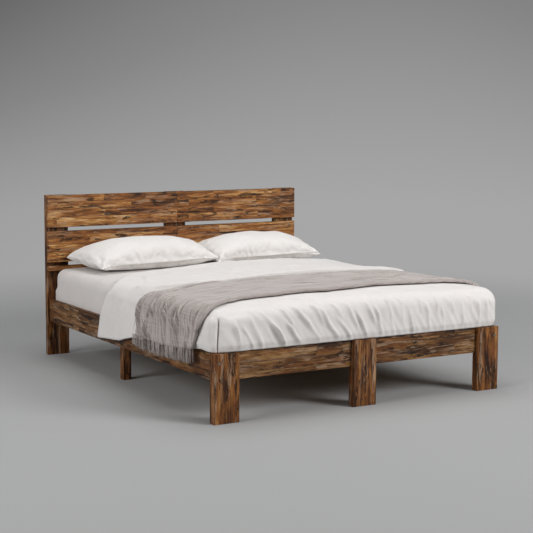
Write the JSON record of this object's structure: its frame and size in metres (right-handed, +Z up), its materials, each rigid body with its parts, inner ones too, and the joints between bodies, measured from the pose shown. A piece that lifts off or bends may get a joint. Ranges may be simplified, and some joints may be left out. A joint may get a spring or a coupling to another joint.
{
  "type": "platform bed",
  "caption": "Low platform bed of wide reclaimed boards with a slatted headboard and slat deck, dressed with mattress, pillows, duvet and a fringed throw.",
  "frame": {"origin": "on the floor, under the middle of the bed's footprint", "axes": "+Z up, +Y from the foot end to the headboard, +X to the right seen from the foot end"},
  "size_m": [1.7394, 2.079, 0.94],
  "materials": {
    "reclaimed_wood": "satin",
    "pine": "matte",
    "beech": "matte",
    "zinc_steel": "satin",
    "black_nylon": "matte",
    "webbing": "matte",
    "fitted_sheet": "matte",
    "pillow_case": "matte",
    "duvet_cover": "matte",
    "woven_throw": "matte"
  },
  "bodies": {
    "frame": {"foot_leg_left": "reclaimed_wood", "foot_leg_center": "reclaimed_wood", "foot_leg_right": "reclaimed_wood", "foot_rail_left": "reclaimed_wood", "foot_rail_right": "reclaimed_wood", "side_rail_left_front": "reclaimed_wood", "side_rail_left_rear": "reclaimed_wood", "side_rail_right_front": "reclaimed_wood", "side_rail_right_rear": "reclaimed_wood", "head_post_left": "reclaimed_wood", "head_post_center": "reclaimed_wood", "head_post_right": "reclaimed_wood", "head_rail_left": "reclaimed_wood", "head_rail_right": "reclaimed_wood", "headboard_upper_left": "reclaimed_wood", "headboard_upper_right": "reclaimed_wood", "headboard_middle_left": "reclaimed_wood", "headboard_middle_right": "reclaimed_wood", "headboard_lower_left": "reclaimed_wood", "headboard_lower_right": "reclaimed_wood", "side_cleat_left": "pine", "side_cleat_right": "pine", "slat_01": "pine", "slat_02": "pine", "slat_03": "pine", "slat_04": "pine", "slat_05": "pine", "slat_06": "pine", "slat_07": "pine", "slat_08": "pine", "slat_09": "pine", "slat_10": "pine", "slat_11": "pine", "slat_12": "pine", "slat_13": "pine", "center_beam": "pine", "center_leg_front": "pine", "center_leg_rear": "pine", "side_mid_leg_left": "pine", "side_mid_leg_right": "pine", "beam_hanger_foot": "zinc_steel", "beam_hanger_head": "zinc_steel", "foot_bolts": "zinc_steel", "head_bolts": "zinc_steel", "bed_bolt_nuts": "zinc_steel", "headboard_nails": "zinc_steel", "cleat_nails": "zinc_steel", "slat_nails": "zinc_steel", "leg_nails": "zinc_steel", "hanger_nails": "zinc_steel", "center_leg_pins": "zinc_steel", "rail_dowels": "beech", "leveling_feet": "black_nylon", "slat_straps": "webbing", "mattress": "fitted_sheet"},
    "pillow_left": {"pillow_left": "pillow_case"},
    "pillow_right": {"pillow_right": "pillow_case"},
    "duvet": {"duvet": "duvet_cover"},
    "throw": {"throw": "woven_throw", "throw_fringe": "woven_throw"}
  },
  "joints": [
    {"name": "pillow_left_lift", "type": "slide", "parent": "frame", "child": "pillow_left", "axis": [0, 0, 1], "range_m": [0, 0.25]},
    {"name": "pillow_right_lift", "type": "slide", "parent": "frame", "child": "pillow_right", "axis": [0, 0, 1], "range_m": [0, 0.25]},
    {"name": "duvet_lift", "type": "slide", "parent": "frame", "child": "duvet", "axis": [0, 0, 1], "range_m": [0, 0.35]},
    {"name": "throw_lift", "type": "slide", "parent": "duvet", "child": "throw", "axis": [0, 0, 1], "range_m": [0, 0.3]}
  ]
}
